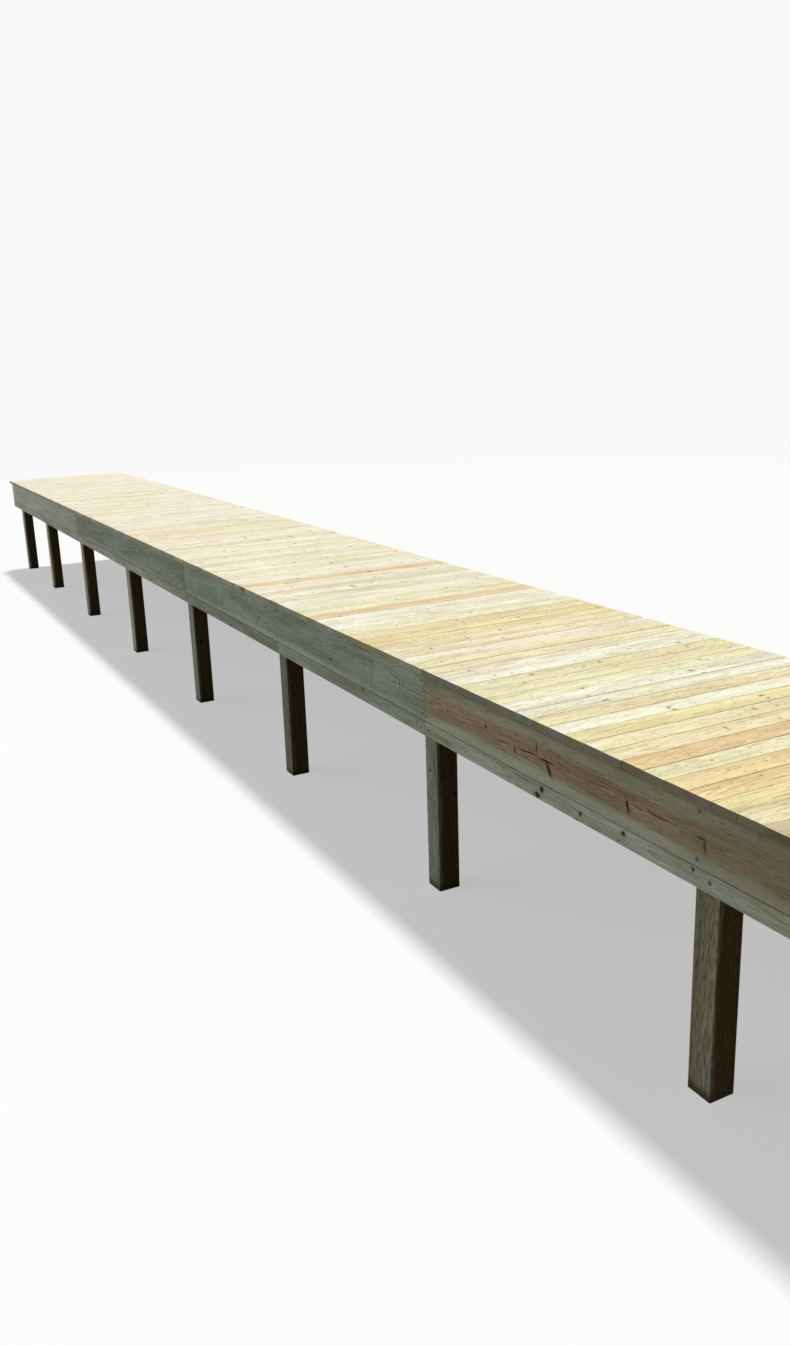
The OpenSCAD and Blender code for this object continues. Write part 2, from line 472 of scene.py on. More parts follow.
def from_mark(tree, place, middle, half_size, turn):
    """How far a point is from the middle of a mark, where 1 is the mark's edge."""
    turn = [math.radians(degrees) for degrees in turn]
    inputs = {"Vector": place, "Location": middle, "Rotation": turn, "Scale": half_size}
    from_middle = add(tree, "Mapping", inputs, vector_type="TEXTURE")
    return add(tree, "VectorMath", {0: from_middle}, operation="LENGTH")


def with_knots(tree, colour, from_knot, knot_hex):
    """The colour with the knots of the growth: brown, with a dark edge and a warm ring round it."""
    ring = add(tree, "MapRange", {"Value": from_knot, "From Min": 2.6, "From Max": 1.0}, **smooth)
    colour = laid_over(tree, colour, ring, "#b8a17a", 0.6)
    edge = add(tree, "MapRange", {"Value": from_knot, "From Min": 0.3})
    dark = add(tree, "Mix", {"Factor": edge, "A": linear(knot_hex), "B": linear("#55412b")}, data_type="RGBA")
    inside = add(tree, "MapRange", {"Value": from_knot, "From Min": 1.1, "From Max": 0.8}, **smooth)
    return add(tree, "Mix", {"Factor": inside, "A": colour, "B": dark}, data_type="RGBA")


def with_marks(tree, colour, place, marks, mark_hex, core_hex, marking):
    """The colour with marks at known places, and how much each point is marked."""
    nearest = None
    for mark in marks:
        away = from_mark(tree, place, *mark)
        nearest = add(tree, "Math", {0: nearest, 1: away}, operation="MINIMUM") if nearest else away
    colour = laid_over(tree, colour, nearest, "#bfa884", 0.5, 2.2, 0.9)
    marked = add(tree, "MapRange", {"Value": nearest, "From Min": 1.15, "From Max": 0.7})
    colour = laid_over(tree, colour, marked, mark_hex, marking, blend="MIX")
    return laid_over(tree, colour, nearest, core_hex, marking, 0.62, 0.3, blend="MIX"), marked


def treated_pine(name, width, whorls=0.55, knot=0.012, heart_hex="#b89f7c", knot_hex="#86623c",
                 rings=0.45, fibres=0.4, blotches=0.4, flecks=0.5, fleck_from=0.66, dashes=0.3, warmth=0.3,
                 checks=0.0, end_hex=None, damp=False, marks=(), mark_hex="#35281a", core_hex="#261b11",
                 marking=0.95, mark_depth=1.5, stains_and_painted_light=()):
    """Pressure-treated southern pine: pale sapwood with a green cast, amber late wood, brown heart and knots.
    Its surface is dry and matt. A sawn end shows the rings as arcs and is darker, because its pores are open.

    marks are knots, resin streaks and cracks at known places: (place, half size, turn in degrees).
    The soft-edged stains are the same with a colour and a strength: real stains, and also painted shade and
    painted light."""
    material = new_material(name)
    tree = material.node_tree
    given = {"Ring width": ring_width, "Whorl spacing": whorls, "Board width": width, "Knot radius": knot}
    grown = add(tree, "Group", given, node_tree=growth).outputs

    colour = add(tree, "Attribute", attribute_name="tint").outputs["Color"]
    colour = laid_over(tree, colour, grown["Heart"], heart_hex, 1.0, blend="MIX")
    for pattern, hex_colour, amount, low, high in (
            ("Late wood", "#d3b98a", rings, 0, 1), ("Fibre", "#b3a88a", fibres, 0.42, 0.75),
            ("Blotch", "#d2cbb4", blotches, 0.35, 0.7), ("Streak", "#f2dcae", warmth, 0.5, 0.7),
            ("Dash", "#b9ae90", dashes, 0.56, 0.74),
            ("Fleck", "#8f8468", flecks, fleck_from, fleck_from + 0.1),
            ("Speck", "#8a7654", flecks, 0, 1), ("Check", "#3b3428", checks, 0, 1)):
        colour = laid_over(tree, colour, grown[pattern], hex_colour, amount, low, high)
    colour = with_knots(tree, colour, grown["From knot"], knot_hex)
    height = add(tree, "Math", {0: grown["Late wood"], 1: 0.35, 2: grown["Fibre"]}, operation="MULTIPLY_ADD")
    height = add(tree, "Math", {0: grown["Check"], 1: -2.0 * checks, 2: height}, operation="MULTIPLY_ADD")

    place = add(tree, "TexCoord").outputs["Object"]
    if marks or stains_and_painted_light:
        ragged = add(tree, "TexNoise", {"Vector": place, "Scale": 1000 / ragged_mm}).outputs["Color"]
        stretch = {0: ragged, 1: (2 * ragged_reach,) * 3, 2: place}
        ragged = add(tree, "VectorMath", stretch, operation="MULTIPLY_ADD")
        ragged = add(tree, "VectorMath", {0: ragged, 1: (ragged_reach,) * 3}, operation="SUBTRACT")
    if marks:
        colour, marked = with_marks(tree, colour, ragged, marks, mark_hex, core_hex, marking)
        if mark_depth:
            height = add(tree, "Math", {0: marked, 1: -mark_depth, 2: height}, operation="MULTIPLY_ADD")
    # Soft-edged colours laid over the wood: real stains, and also painted shade and painted light.
    for middle, half_size, turn, hex_colour, strength in stains_and_painted_light:
        away = from_mark(tree, ragged, middle, half_size, turn)
        soft = add(tree, "MapRange", {"Value": away, "From Min": 1.2, "From Max": 0.5}, **smooth)
        colour = laid_over(tree, colour, soft, hex_colour, strength, blend="MIX")
    if end_hex:
        colour = laid_over(tree, colour, 1.0, end_hex, 1.0)
        colour = laid_over(tree, colour, grown["Board"], "#9b959a", 0.45, 0.62, 0.8, blend="MIX")
        colour = laid_over(tree, colour, grown["Board"], "#a3906f", 0.4, 0.36, 0.2, blend="MIX")
    rough = {"Value": grown["Late wood"], "To Min": early_roughness, "To Max": late_roughness}
    rough = add(tree, "MapRange", rough)
    if damp:
        up = add(tree, "SeparateXYZ", {0: place}).outputs["Z"]
        uneven = add(tree, "MapRange", {"Value": grown["Fibre"], "To Min": -damp_drift, "To Max": damp_drift})
        up = add(tree, "Math", {0: up, 1: uneven}, operation="ADD")
        soaked = add(tree, "MapRange", {"Value": up, "From Min": dry_from, "From Max": damp_to}, **smooth)
        colour = laid_over(tree, colour, soaked, damp_hex, 1.0)
        rough = add(tree, "Mix", {"Factor": soaked, "A": rough, "B": damp_roughness}, data_type="FLOAT")
    bump = add(tree, "Bump", {"Strength": 1.0, "Distance": 0.0005, "Height": height})
    surface = {"Base Color": colour, "Roughness": rough, "IOR": 1.5, "Specular IOR Level": 0.06,
               "Normal": bump}
    surface = add(tree, "BsdfPrincipled", surface)
    add(tree, "OutputMaterial", {"Surface": surface})
    return material


# Knots in the near faces of the left posts: pair, metres to the left of the middle, height, half width and
# half height. The patch is a warm knotty stain on the second: middle, half size, turn, colour and strength.
post_knots = ((2, 0.792, 0.765, 0.01, 0.012), (2, 0.833, 0.752, 0.008, 0.008),
              (2, 0.759, 0.625, 0.012, 0.018), (3, 0.831, 0.685, 0.01, 0.013),
              (3, 0.817, 0.797, 0.007, 0.01), (4, 0.825, 0.61, 0.011, 0.014))
post_knot_depth = 0.05
knots_on_posts = [((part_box(f"posts_{pair}")[0].x, y, z), (post_knot_depth, half_y, half_z), (0, 0, 0))
                  for pair, y, z, half_y, half_z in post_knots]
patch = ((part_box("posts_2")[0].x + 0.008, 0.882, 0.66), (0.018, 0.03, 0.062), (0, 0, 0), "#a98e7c", 0.75)

post_end = treated_pine("end_grain_pine_post", post_width, end_hex=end_grain_hex)
post_wood = {"damp": True, "knot": 0.014, "marks": knots_on_posts, "mark_hex": "#3b2c1c"}
near_pine = treated_pine(
    "sawn_treated_pine_post", post_width, rings=0.6, fibres=0.9, blotches=0.7, flecks=0.8, fleck_from=0.55,
    checks=0.8, heart_hex="#907651", stains_and_painted_light=(patch,), **post_wood)
# The outer pairs' darker heart colour deepens the painted shade on their shore faces.
pale_pine = treated_pine(
    "sawn_treated_pine_pale_post", post_width, rings=0.4, fibres=0.5, fleck_from=0.6, checks=0.6,
    heart_hex="#7f6a4a", **post_wood)
for pair in pairs:
    rng = random.Random(100 + pair)
    stack = new_stack()
    for box in timbers_in(f"posts_{pair}"):
        outward = 1 if box[0].y > 0 else -1
        # The pith lies towards the shore side and the inside of the jetty, so brown heartwood darkens the
        # shore-facing faces: painted shade.
        pith = (rng.uniform(0.076, 0.084), rng.uniform(-0.042, -0.032), rng.uniform(-0.024, -0.016) * outward)
        add_timber(stack, box, 2, 1, post_ease, pith, linear(post_hex[pair - 1]),
                   (rng.random(), rng.uniform(0.5, 1.0), 1.0), cuts=5, bow=rng.uniform(-0.002, 0.002))
    post_pine = pale_pine if pair in pale_pairs else near_pine
    finish_piece(stack, f"post_pair_{pair}", (post_pine, post_end), f"posts_{pair}")


# Cross beams: two 38 x 235 mm boards on edge at each pair of posts, one on each face.
# They clasp the posts, are bolted through them, and carry the joists.
board_ease = 0.003
beam_height = 0.235
frame_hex = ("#c9c7ab", "#c3c2a4", "#cfcbaf")
frame_pine = (treated_pine("planed_treated_pine_frame", beam_height),
              treated_pine("end_grain_pine_frame", beam_height, end_hex=end_grain_hex))
pith_aside = 0.35
pith_away = (0.03, 0.12)


def random_pith(rng, width, heart=(0.0, 0.04)):
    """The pith of a board that is sawn off centre: behind or before its face, and a little to one side."""
    side = rng.choice((-1, -1, 1))
    return (rng.uniform(*heart), rng.uniform(-pith_aside, pith_aside) * width, side * rng.uniform(*pith_away))


def frame_piece(name, node, seed, along, face, width, cuts=4):
    """A piece of the frame, whose boards come from different trees."""
    rng = random.Random(seed)
    stack = new_stack()
    for box in timbers_in(node):
        pith = random_pith(rng, width)
        tint = linear(rng.choice(frame_hex))
        look = (rng.random(), rng.uniform(0.6, 1.2), rng.uniform(0.6, 1.0))
        add_timber(stack, box, along, face, board_ease, pith, tint, look, cuts=cuts)
    finish_piece(stack, name, frame_pine, node)


for pair in pairs:
    frame_piece(f"clasp_beams_{pair}", f"cross_beams_{pair}", 200 + pair, 1, 0, beam_height)


# Beam bolts: two 16 mm galvanised hex bolts through each post and both of its beams.
# The head is on the near side, and a nut is turned up on the far side with a little thread past it.
# Each part of a bolt, screw or nail is its radius, height, number of sides, and the bevel of its rim.
bolt_washer = (0.022, 0.003, 20, 0.0006)
bolt_head = (0.0139, 0.01, 6, 0.0015)
bolt_nut = (0.0139, 0.013, 6, 0.0015)
bolt_thread = (0.008, 0.008, 16, 0.0012)
bolt_spread = 0.06
zinc_mottle_mm = 4.2


def add_steel(shape, place, facing, parts):
    """Short cylinders and prisms of steel that stand one on another and face outwards, with bevelled rims."""
    turned = facing.to_track_quat("Z", "Y").to_matrix().to_4x4()
    for radius, height, sides, rim in parts:
        there = Matrix.Translation(place + facing * height / 2) @ turned
        made = bmesh.ops.create_cone(shape, cap_ends=True, cap_tris=False, segments=sides, radius1=radius,
                                     radius2=radius, depth=height, matrix=there)["verts"]
        top = [edge for edge in dict.fromkeys(e for v in made for e in v.link_edges)
               if all((v.co - place).dot(facing) > height * 0.9 for v in edge.verts)]
        bmesh.ops.bevel(shape, geom=top, offset=rim, segments=1, profile=0.5, affect="EDGES", material=-1)
        place = place + facing * height


def galvanised_steel():
    """Hot-dip galvanised steel: dull grey zinc with a faint mottle, and dull reflections."""
    material = new_material("hot_dip_galvanised_steel")
    tree = material.node_tree
    place = add(tree, "TexCoord").outputs["Object"]
    mottle = add(tree, "TexNoise", {"Vector": place, "Scale": 1000 / zinc_mottle_mm, "Detail": 3.0})
    dark = linear("#66656f")
    colour = add(tree, "Mix", {"Factor": mottle, "A": dark, "B": linear("#8a8893")}, data_type="RGBA")
    rough = add(tree, "MapRange", {"Value": mottle, "To Min": 0.48, "To Max": 0.66})
    bump = add(tree, "Bump", {"Strength": 0.4, "Distance": 0.0002, "Height": mottle})
    surface = {"Base Color": colour, "Metallic": 0.3, "Roughness": rough, "Normal": bump}
    surface = add(tree, "BsdfPrincipled", surface)
    add(tree, "OutputMaterial", {"Surface": surface})
    return material


zinc = galvanised_steel()
for pair in pairs:
    near_beam, far_beam = timbers_in(f"cross_beams_{pair}")
    beam_middle = (near_beam[0].z + near_beam[1].z) / 2
    bolts = bmesh.new()
    for low, high in timbers_in(f"posts_{pair}"):
        for z in (beam_middle - bolt_spread, beam_middle + bolt_spread):
            for x, out, parts in (
                    (near_beam[0].x, -1, (bolt_washer, bolt_head)),
                    (far_beam[1].x, 1, (bolt_washer, bolt_nut, bolt_thread))):
                add_steel(bolts, Vector((x, (low.y + high.y) / 2, z)), Vector((out, 0, 0)), parts)
    finish_piece(bolts, f"beam_bolts_{pair}", [zinc])


# Joists: five lines of 38 x 140 mm boards on edge along the jetty, nailed down to the cross beams.
# They butt over every second pair of posts.
joist_height = 0.14
for run in range(1, 5):
    frame_piece(f"joist_run_{run}", f"joists_{run}", 300 + run, 0, 1, joist_height, cuts=8)


# Header: one 38 x 290 mm board on edge across the near end, between the side bands.
# It closes the ends of the joists and is nailed to them.
band_height = 0.29


def board_across(name, pines, node, rng, pith, hex_colour, knots):
    """A piece that is one board on edge across an end of the jetty."""
    stack = new_stack()
    add_timber(stack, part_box(node), 1, 0, board_ease, pith, linear(hex_colour), (rng.random(), knots, 0.8))
    finish_piece(stack, name, pines, node)


rng = random.Random(350)
pith = random_pith(rng, band_height)
board_across("header", frame_pine, "shore_header", rng, pith, frame_hex[0], 1.0)


# Side bands: 38 x 290 mm boards on edge under the deck edge, in four lengths a side, screwed to the posts.
# The nearest length is sawn near the heart: a brown zone runs along its middle, with spike knots where
# branches were sawn lengthwise.
side_ease = 0.002
band_hex = ("#d6dac7", "#cee2d7", "#c7d8d2", "#f9fdfa")
band_piths = ((0.074, -0.01, -0.022), (0.0, 0.17, -0.1), (0.0, -0.05, -0.08), (0.0, 0.02, -0.1))
band_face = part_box("left_band_1")[1].y
first_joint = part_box("left_band_1")[1].x

# Each mark: metres along from the first joint (less than 0 is towards the near end), height, half length,
# half height, and for some the degrees by which they lean.
band_marks = (
    ((-0.276, 1.234, 0.009, 0.006), (-0.678, 1.257, 0.01, 0.009), (-0.958, 1.208, 0.007, 0.016, 15),
     (-0.829, 1.215, 0.06, 0.003, 5), (-1.077, 1.232, 0.075, 0.0032, 4), (-1.152, 1.272, 0.004, 0.027),
     (-1.26, 1.192, 0.011, 0.046, 32), (-1.234, 1.2315, 0.048, 0.006), (-1.8625, 1.212, 0.008, 0.032, 20),
     (-2.0565, 1.234, 0.065, 0.003), (-2.351, 1.209, 0.008, 0.028, 10), (-2.33, 1.2355, 0.03, 0.005),
     (-1.2225, 1.118, 0.005, 0.005), (-1.4, 1.384, 0.007, 0.007), (-1.815, 1.385, 0.008, 0.006),
     (-2.643, 1.37, 0.01, 0.007)),
    ((1.336, 1.183, 0.013, 0.01), (0.27, 1.258, 0.004, 0.018), (0.31, 1.258, 0.004, 0.02),
     (2.72, 1.226, 0.006, 0.02), (3.072, 1.359, 0.007, 0.009), (2.832, 1.38, 0.006, 0.008),
     (2.307, 1.368, 0.006, 0.009), (1.268, 1.385, 0.006, 0.006), (1.173, 1.38, 0.006, 0.008)),
    ((8.376, 1.26, 0.55, 0.002, 0.3), (8.1, 1.252, 0.3, 0.0016, 0.2), (8.7, 1.235, 0.35, 0.002, -0.3),
     (6.2, 1.31, 0.014, 0.01)),
    ((11.381, 1.207, 0.02, 0.024), (9.811, 1.273, 0.02, 0.013), (9.731, 1.24, 0.006, 0.02)),
)
# Soft stripes: the spacing laths of the timber stack left pale and dark ones across the boards. Along the
# first run a dark stripe under the deck edge, painted shadow of the deck's overhang, and a pale one along its
# foot, painted light thrown up from below; the second and third have the same painted light along their feet.
# The first also has a brown patch, and the last a broad darker patch and, at its far end, a broad pale patch
# that is a painted sheen. Each has its middle, half length, half height, colour and strength.
band_stripes_and_painted_light = (
    ((-1.4, 1.384, 3.0, 0.028, "#85836f", 0.6), (-1.4, 1.122, 3.0, 0.04, "#e6e6d2", 0.5),
     (-2.8, 1.247, 0.8, 0.3, "#8f8468", 0.4)),
    ((0.7105, 1.247, 0.009, 0.18, "#8d9480", 0.45), (0.7425, 1.247, 0.013, 0.18, "#e6e8dc", 0.2),
     (3.68, 1.247, 0.02, 0.18, "#e6e8dc", 0.35), (4.672, 1.247, 0.012, 0.18, "#8b8f80", 0.6),
     (2.3, 1.117, 2.4, 0.035, "#e2ead9", 0.45)),
    ((4.71, 1.247, 0.018, 0.18, "#7f8475", 0.6), (7.1, 1.117, 2.4, 0.035, "#dfe6da", 0.3)),
    ((10.381, 1.247, 0.014, 0.18, "#a9ada0", 0.5), (9.9, 1.247, 1.6, 0.4, "#b4b8ae", 0.35),
     (13.3, 1.247, 1.8, 0.4, "#fbfbf2", 0.2)),
)
band_wood = {"heart_hex": "#d5c0aa", "knot": 0.016, "whorls": 0.8, "rings": 0.7, "fibres": 0.9,
             "blotches": 0.7, "flecks": 0.6, "fleck_from": 0.6, "dashes": 0.6, "checks": 0.5, "warmth": 0.15}
pale_wood = dict(band_wood, rings=0.5, fibres=0.75, blotches=0.6)


def left_marks(marks):
    """The marks of a left board as the pine takes them."""
    return [((first_joint + x, band_face, z), (half_x, 1, half_z), (0, sum(lean), 0))
            for x, z, half_x, half_z, *lean in marks]


left_bands = []
for length, (marks, stripes) in enumerate(zip(band_marks, band_stripes_and_painted_light), 1):
    stains_and_painted_light = [((first_joint + x, band_face, z), (half_x, 1, half_z), (0, 0, 0), *stain)
              for x, z, half_x, half_z, *stain in stripes]
    left_bands.append(treated_pine(f"planed_treated_pine_band_{length}", band_height, marks=left_marks(marks),
                                   stains_and_painted_light=stains_and_painted_light, **(pale_wood if length == 4 else band_wood)))
plain_band = treated_pine("planed_treated_pine_band", band_height, **band_wood)
band_end = treated_pine("end_grain_pine_band", band_height, end_hex=end_grain_hex)
for side, outward, knots, pines in (("left", 1, 0.15, left_bands), ("right", -1, 0.9, [plain_band] * 4)):
    for length, (pine, (heart, across, behind), hex_colour) in enumerate(zip(pines, band_piths, band_hex), 1):
        rng = random.Random(f"{side}_{length}")
        stack = new_stack()
        for box in timbers_in(f"{side}_band_{length}"):
            add_timber(stack, box, 0, 1, side_ease, (heart, across, behind * outward), linear(hex_colour),
                       (rng.random(), knots, 0.8), cuts=12, bow=rng.uniform(-0.0015, 0.0015))
        finish_piece(stack, f"{side}_side_band_{length}", (pine, band_end),
                     f"{side}_band_{length}")


# End band: the same 38 x 290 mm board across the far end.
# It lies over the ends of the side bands and is nailed to them and to the joists.
pith = (0.03, 0.03, -0.09)
board_across("end_side_band", (plain_band, band_end), "end_band", random.Random(450), pith,
             band_hex[3], 0.8)


# Lower boards: 38 x 90 mm, one under each bay of the bands, cut to butt at the posts and screwed to them.
# They have dried and shrunk a little, so the joint under the bands stands open.
lower_height = 0.09
lower_shrink = 0.0015
lower_hex = ("#e9f2e8", "#d1ddd1", "#bcc9bb", "#dfeae0", "#e4ece6", "#e7efe9", "#eaf3ed")
lower_marks = (
    (-1.199, 1.0687, 0.017, 0.016), (-1.1625, 1.0265, 0.022, 0.017), (-1.5175, 1.052, 0.011, 0.011),
    (-1.492, 1.005, 0.019, 0.01), (-1.8365, 1.07, 0.015, 0.012), (-1.845, 1.001, 0.01, 0.006),
    (0.8435, 1.087, 0.012, 0.01), (3.4265, 1.023, 0.012, 0.01), (8.071, 1.05, 0.014, 0.01),
    (5.426, 1.053, 0.004, 0.036), (0.104, 1.055, 0.003, 0.026, 15), (-2.289, 1.08, 0.009, 0.009),
)
left_lower = treated_pine(
    "planed_treated_pine_lower_left", lower_height, marks=left_marks(lower_marks), mark_hex="#2a2318",
    core_hex="#4d4030", fibres=0.8, blotches=0.8, dashes=0.6, checks=0.4)
plain_lower = treated_pine("planed_treated_pine_lower", lower_height, knot=0.016)
lower_end = treated_pine("end_grain_pine_lower", lower_height, end_hex=end_grain_hex)
for side, knots, pine in (("left", 0.3, left_lower), ("right", 1.0, plain_lower)):
    rng = random.Random(f"{side}_lower")
    stack = new_stack()
    for bay, (low, high) in enumerate(timbers_in(f"{side}_lower_boards")):
        high.z -= lower_shrink
        pith = random_pith(rng, lower_height)
        add_timber(stack, (low, high), 0, 1, side_ease, pith, linear(lower_hex[bay]),
                   (rng.random(), knots, 0.8), cuts=6, bow=rng.uniform(-0.001, 0.001))
    finish_piece(stack, f"{side}_lower_row", (pine, lower_end), f"{side}_lower_boards")
rng = random.Random(550)
pith = random_pith(rng, lower_height)
board_across("end_lower_row", (plain_lower, lower_end), "end_lower_board", rng, pith,
             lower_hex[3], 1.0)


# Side screws: galvanised hex-head lag screws with washers hold the bands and the lower boards to the posts.
# Each post has two for the band, or two on either side of a joint in it. Those in the first pair are larger.
first_screw = ((0.012, 0.0022, 18, 0.0005), (0.0078, 0.0055, 6, 0.001))
side_screw = ((0.0085, 0.0022, 18, 0.0005), (0.0055, 0.0055, 6, 0.001))
band_joint_pairs = (2, 4, 6)
beside_band_joint = (-0.029, 0.029)
beside_lower_joint = (-0.043, 0.043)
first_screw_shift = 0.038
screw_heights = (1.347, 1.138)
lower_screw_height = (1.05, 1.062)
screw_drift = 0.004
for side, out in (("left", 1), ("right", -1)):
    screws = bmesh.new()
    rng = random.Random(f"{side}_screws")
    for pair in pairs:
        low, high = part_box(f"posts_{pair}")
        x = (low.x + high.x) / 2
        if pair in band_joint_pairs:
            beside = beside_band_joint
        else:
            beside = (first_screw_shift if pair == 1 else rng.uniform(-0.01, 0.01),)
        places = [(x + shift, z) for shift in beside for z in screw_heights]
        places += [(x + shift, rng.uniform(*lower_screw_height)) for shift in beside_lower_joint]
        if pair == 1:
            places.pop()
        for x_at, z_at in places:
            x_at += rng.uniform(-screw_drift, screw_drift)
            z_at += rng.uniform(-screw_drift, screw_drift)
            place = Vector((x_at, out * band_face, z_at))
            add_steel(screws, place, Vector((0, out, 0)), first_screw if pair == 1 else side_screw)
    finish_piece(screws, f"{side}_side_screws", [zinc])


# End nails: galvanised nails with heads 9 mm across, driven through the header and the end band into the
# joists, and at the far end also into the side bands and the lower boards.
nail_head = (0.0045, 0.0018, 10, 0.0004)
nail_sunk = 0.001
corner = 0.901
fixing_lines = (-corner, -0.721, -0.3605, 0.0, 0.3605, 0.721, corner)
nail_heights = (1.37, 1.33, 1.29)
corner_heights = (1.37, 1.25, 1.13)
lower_nail_heights = (1.035, 1.07)
for name, out, face_x, lines in (
        ("end", 1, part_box("end_band")[1].x, fixing_lines),
        ("header", -1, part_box("shore_header")[0].x, fixing_lines[1:-1])):
    facing = Vector((out, 0, 0))
    nails = bmesh.new()
    rng = random.Random(f"{name}_nails")
    places = [(y, z) for y in lines for z in (corner_heights if abs(y) == corner else nail_heights)]
    if name == "end":
        places += [(y, z) for y in (-corner, corner) for z in lower_nail_heights]
    for y, z in places:
        place = Vector((face_x, y + rng.uniform(-0.006, 0.006), z + rng.uniform(-0.005, 0.005)))
        add_steel(nails, place - facing * nail_sunk, facing, (nail_head,))
    finish_piece(nails, f"{name}_nails", [zinc])


# Deck boards: 38 x 139 mm boards laid across and screwed down, close together but for some opened joints.
# No two are alike: cream, yellow, white and a few peach ones, with ends that are a few millimetres uneven.
deck_width = 0.139
deck_tones = {"cream": "#f7f0cb", "yellow": "#f7edbc", "white": "#fdfdec", "green": "#f9f6d3",
              "peach": "#eed6ab", "light peach": "#f6e4b6", "grey": "#ebe8cd", "tan": "#d8ccab"}
tone_boards = {"peach": (6, 31, 41), "light peach": (3, 4, 26, 62, 65, 66), "yellow": (2, 9, 24, 25),
               "white": (10, 12, 13, 17, 18, 21, 28, 29, 30, 34, 35, 37, 39, 42, 43, 44, 48, 51),
               "green": (5, 14, 15, 20, 27, 32, 33, 40, 47, 53, 55, 61, 64, 67, 87, 96),
               "tan": (0,), "grey": (36, 38, 45, 49, 57, 69, 86, 90, 94, 97, 110)}
# Painted sheen: from the tenth board on, the tints are mixed more and more with this near-white colour over
# the next fifty boards, standing in for the glancing reflection of the sky on the far deck.
painted_sheen_hex = "#fefcef"
sheen_from_board = 10
sheen_over_boards = 50

# How far the joints before some boards stand open, how far the others do, and the joint that the CAD leaves.
opened_joints = {0.0068: (20, 25), 0.0045: (9, 11, 13), 0.0018: (4, 5, 23, 47, 50, 54),
                 0.003: (6, 8, 12, 15, 17, 19, 22, 26, 27, 31, 33, 36, 41)}
near_joint = 0.0006
far_joints = (0.001, 0.002, 0.0034)
far_joints_from = 51
cad_joint = 0.0013

# Knots and cracks in the first two bays: metres along from the near end, metres to the left of the middle,
# half size along the jetty, half size across it, and for a crack the degrees by which it is turned.
deck_marks = (
    ((1.349, -0.273, 0.01, 0.016), (1.298, -0.268, 0.008, 0.012), (1.34, -0.255, 0.006, 0.007),
     (1.459, 0.253, 0.009, 0.012), (1.413, 0.258, 0.009, 0.014), (1.44, 0.272, 0.006, 0.008),
     (1.727, 0.45, 0.01, 0.016), (1.741, 0.425, 0.006, 0.008), (1.837, 0.47, 0.01, 0.008),
     (1.972, 0.41, 0.008, 0.014), (1.907, -0.3, 0.012, 0.016), (1.831, -0.325, 0.008, 0.01),
     (2.057, -0.5, 0.008, 0.014), (2.027, -0.537, 0.01, 0.006), (1.882, 0.009, 0.008, 0.008),
     (2.227, 0.61, 0.011, 0.012), (2.347, 0.483, 0.01, 0.016), (2.347, 0.0, 0.016, 0.007),
     (2.33, 0.015, 0.008, 0.006), (2.307, 0.145, 0.007, 0.01), (2.382, -0.227, 0.006, 0.008),
     (2.28, -0.465, 0.009, 0.009), (2.421, -0.67, 0.012, 0.014), (2.317, -0.645, 0.009, 0.006),
     (2.48, -0.324, 0.007, 0.01), (2.447, 0.663, 0.008, 0.007), (2.617, 0.732, 0.009, 0.009),
     (2.737, 0.714, 0.007, 0.006), (1.202, -0.08, 0.016, 0.007), (1.178, -0.21, 0.01, 0.006),
     (1.062, 0.25, 0.018, 0.006), (1.026, -0.068, 0.012, 0.006), (1.624, -0.1, 0.004, 0.03, -20),
     (1.56, 0.14, 0.0022, 0.17, 6), (1.59, -0.25, 0.002, 0.16, -9), (1.6, 0.4, 0.002, 0.06, -25),
     (0.8, 0.36, 0.005, 0.005), (0.42, 0.62, 0.005, 0.005), (0.47, 0.5, 0.005, 0.004)),
    ((3.182, 0.663, 0.009, 0.01), (2.882, 0.766, 0.008, 0.008), (3.297, 0.33, 0.036, 0.004),
     (3.344, 0.047, 0.013, 0.01), (3.152, 0.15, 0.009, 0.01), (3.167, -0.375, 0.012, 0.008),
     (3.344, -0.26, 0.008, 0.012), (3.587, -0.26, 0.012, 0.009), (3.749, 0.137, 0.009, 0.01),
     (3.897, -0.068, 0.011, 0.012), (3.152, -0.85, 0.009, 0.009), (4.19, 0.12, 0.009, 0.009),
     (4.35, 0.74, 0.009, 0.009), (4.78, -0.38, 0.01, 0.01), (4.95, -0.78, 0.024, 0.007),
     (5.07, 0.78, 0.009, 0.01), (4.62, 0.14, 0.009, 0.009)),
)
deck_wood = {"fibres": 0.5, "blotches": 0.45, "warmth": 0.35, "dashes": 0.6, "flecks": 0.6,
             "fleck_from": 0.62, "checks": 0.2, "knot": 0.013, "whorls": 0.42, "heart_hex": "#e8c697",
             "knot_hex": "#a98a60", "mark_hex": "#a08a62", "core_hex": "#4f3d28", "marking": 0.85,
             "mark_depth": 0.0}
end_wood = {"rings": 0.8, "fibres": 1.0, "flecks": 0.8, "fleck_from": 0.6}
# The sawn ends are darkened most in the first bay, less in the second, and hardly from the third on: the
# paler far ends are a painted sheen, for ends seen at an ever more glancing angle.
end_hexes_with_painted_sheen = ("#bdc5ce", "#eaf5fd") + ("#fafdff",) * 5
near_x = cad_box[0][0]
deck_top = cad_box[1][2]
deck_pines = []
for bay, marks in enumerate(deck_marks, 1):
    marks = [((near_x + x, y, deck_top), (half_x, half_y, 1), (0, 0, sum(turn)))
             for x, y, half_x, half_y, *turn in marks]
    deck_pines.append(treated_pine(f"planed_treated_pine_deck_{bay}", deck_width, marks=marks, **deck_wood))
deck_pines += [treated_pine("planed_treated_pine_deck", deck_width, **deck_wood)] * 5
deck_ends = [treated_pine(f"end_grain_pine_deck_{bay}", deck_width, end_hex=end_hex, **end_wood)
             for bay, end_hex in enumerate(end_hexes_with_painted_sheen, 1)]


def deck_tone(index):
    """The name of the tone of a deck board, counted from the near end."""
    return next((name for name, boards in tone_boards.items() if index in boards), "cream")


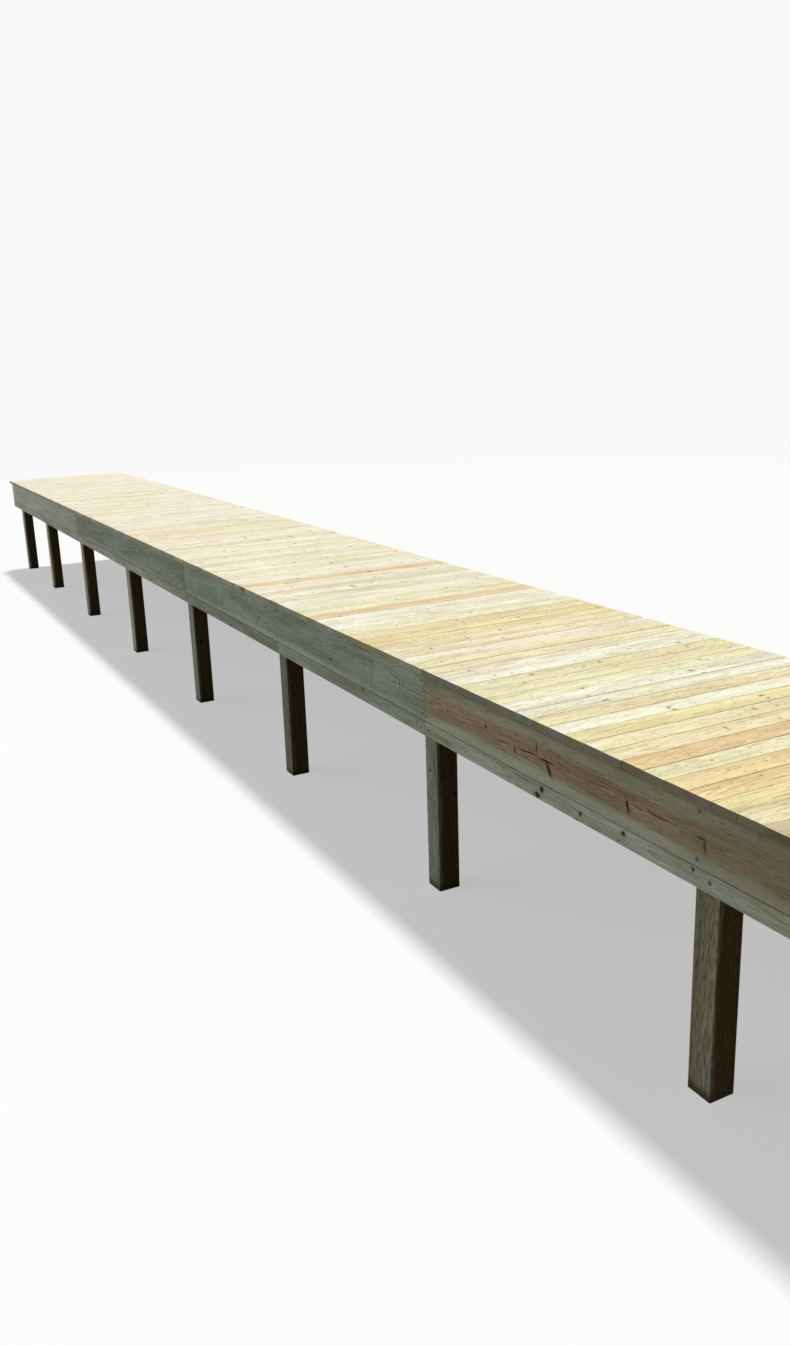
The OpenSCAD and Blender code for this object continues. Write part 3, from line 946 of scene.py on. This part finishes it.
def deck_tint(index, rng):
    """The sapwood colour of one deck board, paler and more alike towards the far end: a painted sheen that
    stands in for the glancing reflection of the sky.
    """
    colour = Vector(linear(deck_tones[deck_tone(index)])[:3])
    alike = 0.85 if deck_tone(index) == "cream" else 0.5
    sheen_amount = min(1.0, max(0, index - sheen_from_board) / sheen_over_boards)
    colour = colour.lerp(Vector(linear(painted_sheen_hex)[:3]), alike * sheen_amount)
    return [part * rng.uniform(0.985, 1.015) for part in colour] + [1.0]


def joint_width(index):
    """How far the joint on the near side of a board stands open."""
    for width, joints in opened_joints.items():
        if index in joints:
            return width
    return random.Random(5000 + index).choice(far_joints) if index >= far_joints_from else near_joint


# Deck screws: two in each board over every joist and band. The heads are about 8.4 mm across, with a recess
# for the driver, and sit just proud of the board. Boards and screws are made together.
screw_from_middle = 0.042
screw_radius = 0.0042
head_height = 0.0012
screw_proud = 0.0004
recess_from_rim = 0.0021
recess_slope = 0.0002
recess_depth = 0.0008
cup_at_screw = 0.37
screw_coat_mm = 3.3


def coated_screw():
    """Steel deck screw with a dull brown-green coating."""
    material = new_material("coated_screw_steel")
    tree = material.node_tree
    place = add(tree, "TexCoord").outputs["Object"]
    worn = add(tree, "TexNoise", {"Vector": place, "Scale": 1000 / screw_coat_mm, "Detail": 2.0})
    dark = linear("#7d755d")
    colour = add(tree, "Mix", {"Factor": worn, "A": dark, "B": linear("#a69d7e")}, data_type="RGBA")
    surface = add(tree, "BsdfPrincipled", {"Base Color": colour, "Metallic": 0.2, "Roughness": 0.55})
    add(tree, "OutputMaterial", {"Surface": surface})
    return material


screw_coat = coated_screw()
head_middle = deck_top + screw_proud - head_height / 2
board_index = 0
for bay, pines in enumerate(zip(deck_pines, deck_ends), 1):
    stack = new_stack()
    heads = bmesh.new()
    for low, high in timbers_in(f"deck_boards_{bay}"):
        rng = random.Random(1000 + board_index)
        middle_x = (low.x + high.x) / 2
        low.x += (joint_width(board_index) - cad_joint) / 2
        high.x -= (joint_width(board_index + 1) - cad_joint) / 2
        has_heart = rng.random() < 0.5 and deck_tone(board_index) == "peach"
        pith = random_pith(rng, deck_width, heart=(0.05, 0.08) if has_heart else (0.0, 0.0))
        cup = rng.uniform(-0.0003, 0.0004)
        tint = deck_tint(board_index, rng)
        knots = rng.uniform(0.2, 0.5) if bay < 3 else rng.uniform(0.5, 1.2)
        look = (rng.random(), knots, rng.uniform(0.4, 1.0))
        bow = rng.uniform(-0.0003, 0.0003)
        ends = (rng.uniform(-0.0025, 0.002), rng.uniform(-0.002, 0.0025))
        skew = rng.uniform(-0.012, 0.012)
        add_timber(stack, (low, high), 1, 2, board_ease, pith, tint, look, bow=bow, cup=cup, ends=ends,
                   skew=skew)
        for y in fixing_lines:
            for side in (-1, 1):
                x_at = middle_x + side * screw_from_middle + rng.uniform(-screw_drift, screw_drift)
                y_at = y + rng.uniform(-screw_drift, screw_drift)
                place = Vector((x_at, y_at, head_middle - cup * cup_at_screw))
                bmesh.ops.create_cone(
                    heads, cap_ends=True, cap_tris=False, segments=10, radius1=screw_radius * 1.05,
                    radius2=screw_radius * 0.93, depth=head_height, matrix=Matrix.Translation(place))
        board_index += 1
    heads.normal_update()
    tops = [face for face in heads.faces if face.normal.z > 0.9]
    bmesh.ops.inset_individual(heads, faces=tops, thickness=recess_from_rim, depth=0.0)
    bmesh.ops.inset_individual(heads, faces=tops, thickness=recess_slope, depth=-recess_depth)
    finish_piece(stack, f"deck_bay_{bay}", pines, f"deck_boards_{bay}")
    finish_piece(heads, f"deck_screws_{bay}", [screw_coat])
